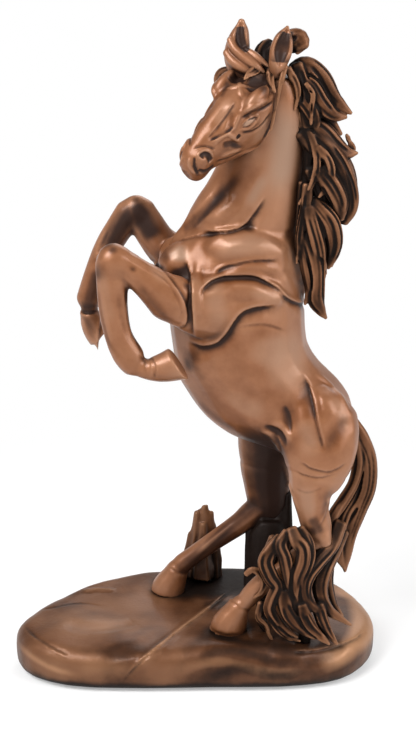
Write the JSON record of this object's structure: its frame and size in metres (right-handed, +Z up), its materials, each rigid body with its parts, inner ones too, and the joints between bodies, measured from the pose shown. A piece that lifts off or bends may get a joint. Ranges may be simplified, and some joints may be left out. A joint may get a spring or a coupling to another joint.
{
  "type": "rearing horse figurine",
  "caption": "Rearing horse ornament in copper-finished cast resin, standing on its hind legs on an oval ground, with a flowing mane and a long tail.",
  "frame": {"origin": "middle of the felt's underside, on the surface that the figurine stands on", "axes": "+X from the horse's front towards its tail, +Y towards the horse's right side, +Z up"},
  "size_m": [0.1871, 0.099, 0.3282],
  "materials": {
    "copper_body": "polished copper plating with dark patina left in the creases",
    "copper_hair": "copper plating with nearly black patina in the grooves between the strands",
    "copper_ground": "brown patinated copper plating, rubbed bright on the high places",
    "steel_armature": "zinc plated",
    "felt_pad": "pressed felt"
  },
  "bodies": {
    "root": {"plinth": "copper_ground", "rock_spire": "copper_ground", "support_stump": "copper_ground", "trunk": "copper_body", "neck": "copper_body", "head": "copper_body", "left_ear": "copper_body", "right_ear": "copper_body", "left_foreleg": "copper_body", "right_foreleg": "copper_body", "left_hind_leg": "copper_body", "right_hind_leg": "copper_body", "forelock": "copper_hair", "mane_upper": "copper_hair", "mane_middle": "copper_hair", "mane_lower": "copper_hair", "tail": "copper_hair", "tail_cascade": "copper_hair", "left_hind_rod": "steel_armature", "right_hind_rod": "steel_armature", "left_rod_washer": "steel_armature", "right_rod_washer": "steel_armature", "left_rod_nut": "steel_armature", "right_rod_nut": "steel_armature", "neck_dowel": "steel_armature", "head_dowel": "steel_armature", "left_foreleg_dowel": "steel_armature", "right_foreleg_dowel": "steel_armature", "tail_dowel": "steel_armature", "cascade_dowel": "steel_armature", "spire_dowel": "steel_armature", "stump_dowel": "steel_armature", "base_felt": "felt_pad"}
  },
  "joints": []
}
